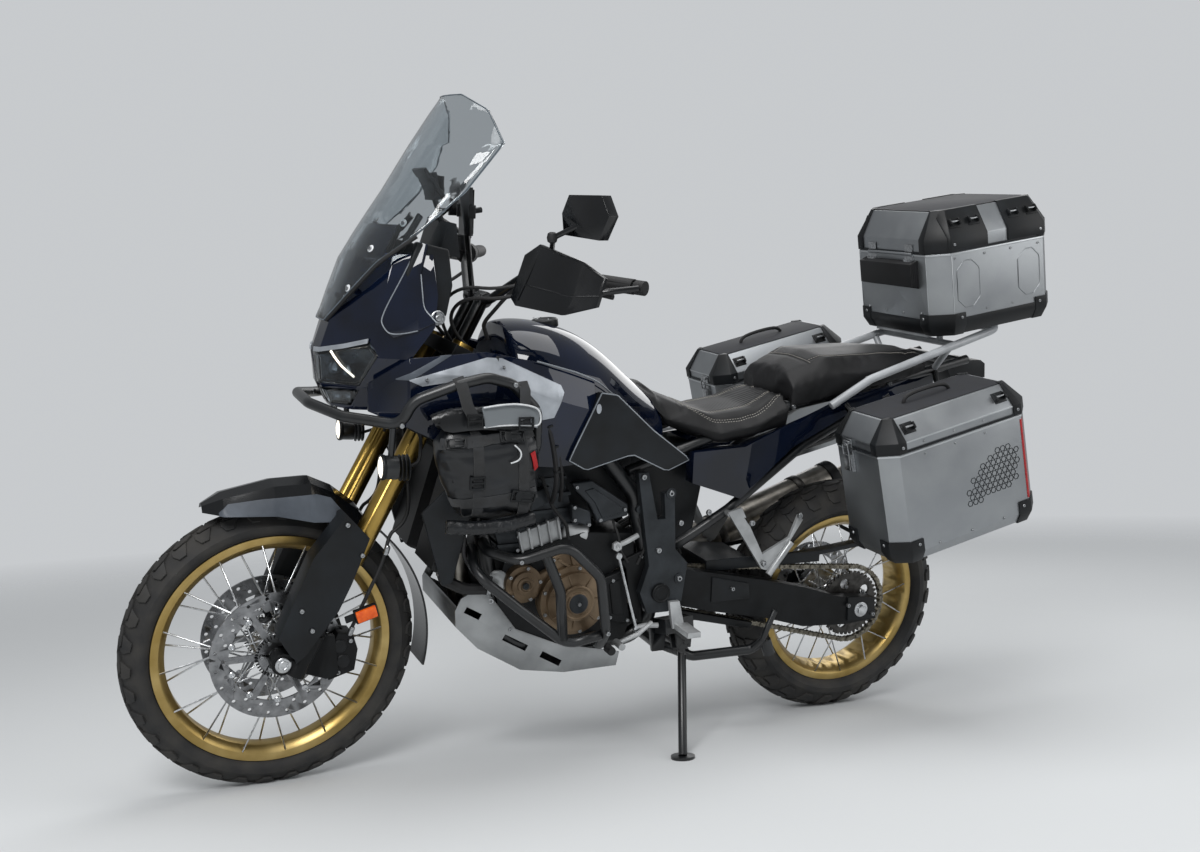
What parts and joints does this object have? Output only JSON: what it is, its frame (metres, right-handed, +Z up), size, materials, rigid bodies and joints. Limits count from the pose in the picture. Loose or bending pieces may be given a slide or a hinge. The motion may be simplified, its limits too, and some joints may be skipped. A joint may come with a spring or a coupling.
{
  "type": "adventure motorcycle with luggage",
  "caption": "Leaning adventure motorcycle with spoked wheels, crash bars, tall screen, hard luggage cases with hinged lids, turning bars and folding stands",
  "frame": {"origin": "middle of the parked bike's footprint box, on the ground", "axes": "+X forward, +Y to the bike's left, +Z up"},
  "size_m": [2.5174, 1.1444, 1.635],
  "materials": {
    "tyre": "black tread rubber",
    "gold_rim": "gold anodised",
    "bright_spokes": "bright steel",
    "disc_steel": "ground steel",
    "sprocket_steel": "dark steel",
    "gold_tube": "gold anodised",
    "black_cast": "satin black",
    "grey_cast": "dark grey cast",
    "black_tube": "satin black powder coat",
    "black_frame": "satin black",
    "bronze_cover": "bronze metallic",
    "radiator_core": "black coated fins",
    "exhaust_steel": "brushed stainless",
    "bare_aluminium": "bare satin",
    "case_aluminium": "brushed aluminium sheet",
    "silver_rail": "silver coated",
    "chain_steel": "oiled steel",
    "gloss_paint": "gloss near-black blue",
    "satin_plastic": "satin black",
    "seat_leather": "black grained",
    "rubber": "matte black",
    "lamp_lens": "clear lens",
    "screen": "tinted clear sheet",
    "bag_cloth": "coated black"
  },
  "bodies": {
    "front_wheel": {"front_tyre": "tyre", "front_rim": "gold_rim", "front_hub_and_spokes": "bright_spokes", "front_brake_discs": "disc_steel"},
    "rear_wheel": {"rear_tyre": "tyre", "rear_rim": "gold_rim", "rear_hub_and_spokes": "bright_spokes", "rear_brake_disc": "disc_steel", "rear_sprocket": "sprocket_steel"},
    "steering": {"fork_outer_tubes": "gold_tube", "fork_lowers_and_axle": "black_cast", "fork_clamps": "black_cast", "handlebar": "black_tube", "grips_and_levers": "rubber", "handguards": "satin_plastic", "mirrors": "satin_plastic", "front_fender": "satin_plastic", "fork_guards": "satin_plastic", "front_calipers": "black_cast"},
    "chassis": {"frame": "black_frame", "pivot_plates": "grey_cast", "engine_case": "black_cast", "engine_cylinders": "grey_cast", "engine_covers": "bronze_cover", "radiators": "radiator_core", "exhaust": "exhaust_steel", "skid_plate": "bare_aluminium", "swingarm": "black_cast", "rear_shock": "black_tube", "rear_hugger": "satin_plastic", "chain": "chain_steel", "gearbox_sprocket": "sprocket_steel", "tank": "gloss_paint", "seat_rider": "seat_leather", "seat_pillion": "seat_leather", "knee_panels": "satin_plastic", "side_cowls": "gloss_paint", "front_cowl": "gloss_paint", "headlights": "lamp_lens", "windscreen": "screen", "dash": "satin_plastic", "tail_panels": "gloss_paint", "plate_holder": "satin_plastic", "rear_rack": "silver_rail", "pannier_racks": "black_tube", "crash_bars": "black_tube", "tank_bags": "bag_cloth", "pegs_and_pedals": "bare_aluminium", "aux_lamps": "black_tube", "left_pannier_body": "case_aluminium", "right_pannier_body": "case_aluminium", "top_case_body": "case_aluminium", "backrest_pad": "rubber"},
    "left_pannier_lid_body": {"left_pannier_lid": "case_aluminium"},
    "right_pannier_lid_body": {"right_pannier_lid": "case_aluminium"},
    "top_case_lid_body": {"top_case_lid": "case_aluminium"},
    "side_stand_body": {"side_stand": "black_tube"},
    "centre_stand_body": {"centre_stand": "black_tube"}
  },
  "joints": [
    {"name": "steering_turn", "type": "hinge", "parent": "chassis", "child": "steering", "pos_m": [0.53186, -0.01084, 0.93113], "axis": [-0.4609, 0.173, 0.8704], "range_deg": [-43.5, 36.4]},
    {"name": "front_wheel_spin", "type": "hinge", "parent": "steering", "child": "front_wheel", "pos_m": [0.91224, -0.1245, 0.34011], "axis": [-0.0553, 0.9733, -0.2228], "continuous": true},
    {"name": "rear_wheel_spin", "type": "hinge", "parent": "chassis", "child": "rear_wheel", "pos_m": [-0.66267, -0.13092, 0.32865], "axis": [-0.0002, 0.9808, -0.1951], "continuous": true},
    {"name": "side_stand_fold", "type": "hinge", "parent": "chassis", "child": "side_stand_body", "pos_m": [-0.10273, 0.0322, 0.26648], "axis": [-0.192, 0.9813, 0.0125], "range_deg": [0, 100]},
    {"name": "centre_stand_fold", "type": "hinge", "parent": "chassis", "child": "centre_stand_body", "pos_m": [-0.05271, -0.13942, 0.28528], "axis": [0.0002, -0.9808, 0.1951], "range_deg": [0, 80]},
    {"name": "left_pannier_lid_hinge", "type": "hinge", "parent": "chassis", "child": "left_pannier_lid_body", "pos_m": [-0.90194, 0.34656, 0.85584], "axis": [0.0002, -0.9808, 0.1951], "range_deg": [0, 95]},
    {"name": "right_pannier_lid_hinge", "type": "hinge", "parent": "chassis", "child": "right_pannier_lid_body", "pos_m": [-0.85373, -0.38164, 1.06487], "axis": [0.0002, -0.9808, 0.1951], "range_deg": [0, 95]},
    {"name": "top_case_lid_hinge", "type": "hinge", "parent": "chassis", "child": "top_case_lid_body", "pos_m": [-0.78131, 0.05931, 1.28512], "axis": [-0.0002, 0.9808, -0.1951], "range_deg": [0, 95]}
  ]
}
